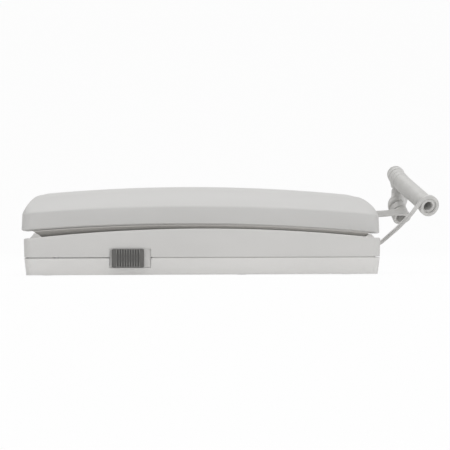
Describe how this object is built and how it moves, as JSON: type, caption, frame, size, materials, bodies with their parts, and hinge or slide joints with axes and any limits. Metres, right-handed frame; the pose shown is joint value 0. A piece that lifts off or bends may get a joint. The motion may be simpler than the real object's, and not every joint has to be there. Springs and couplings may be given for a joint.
{
  "type": "audio intercom handset",
  "caption": "Wall audio intercom: an arched handset rests in the cradle of a shallow base with a grooved slide knob on its long side and a curly cord at one end.",
  "frame": {"origin": "midway between the two wall screw slots, in the plane of the wall that the base lies against", "axes": "+X along the unit towards the end where the cord comes out, +Y across it away from the slide knob, +Z out from the wall"},
  "size_m": [0.2445, 0.081, 0.0651],
  "materials": {
    "cover_plastic": "fine even grain, warm whitish grey",
    "handset_plastic": "fine even grain, light grey white",
    "button_plastic": "fine even grain, light grey",
    "knob_plastic": "fine grain, dark grey",
    "lever_plastic": "smooth natural white",
    "cord_sheath": "smooth soft sheath, light grey white",
    "gland_rubber": "matt, light grey white",
    "zinc_steel": "zinc plated, dull shine",
    "board_laminate": "satin green solder mask",
    "component_black": "moulded black",
    "terminal_plastic": "moulded grey",
    "speaker_case": "moulded black, slight shine",
    "capsule_metal": "drawn can, satin",
    "soft_rubber": "matt black"
  },
  "bodies": {
    "base": {"front_cover": "cover_plastic", "rear_cover": "cover_plastic", "cover_screws": "zinc_steel", "base_board": "board_laminate", "board_screws": "zinc_steel", "board_components": "component_black", "terminal_block": "terminal_plastic", "terminal_screws": "zinc_steel", "call_speaker": "speaker_case", "slide_switch": "component_black", "hook_pin": "zinc_steel", "hook_springs": "zinc_steel", "hook_switch": "component_black", "base_cord_gland": "gland_rubber", "base_cord_lead": "cord_sheath", "cord_coil": "cord_sheath", "handset_cord_lead": "cord_sheath"},
    "knob": {"slide_knob": "knob_plastic"},
    "hook": {"hook_lever": "lever_plastic"},
    "handset": {"handset_outer_shell": "handset_plastic", "handset_inner_shell": "handset_plastic", "earpiece_gasket": "soft_rubber", "earpiece_capsule": "capsule_metal", "microphone": "capsule_metal", "microphone_boot": "soft_rubber", "handset_board": "board_laminate", "door_switch": "component_black", "button_spring": "zinc_steel", "ballast_weight": "zinc_steel", "handset_screws": "zinc_steel", "handset_cord_gland": "gland_rubber"},
    "button": {"door_button": "button_plastic"}
  },
  "joints": [
    {"name": "handset_lift", "type": "slide", "parent": "base", "child": "handset", "axis": [0, 0, 1], "range_m": [0, 0.045]},
    {"name": "hook_turn", "type": "hinge", "parent": "base", "child": "hook", "pos_m": [-0.05, 0, 0.011], "axis": [0, 1, 0], "range_deg": [0, 10]},
    {"name": "knob_slide", "type": "slide", "parent": "base", "child": "knob", "axis": [1, 0, 0], "range_m": [0, 0.0038]},
    {"name": "door_button_press", "type": "slide", "parent": "handset", "child": "button", "axis": [0, 0, 1], "range_m": [0, 0.0012], "stiffness_N_per_m": 400, "springref_m": -0.0005, "deforming": ["button_spring"]}
  ],
  "couplings": [
    {"joint": "hook_turn", "follows": "handset_lift", "rad_per_m": 3.87}
  ]
}
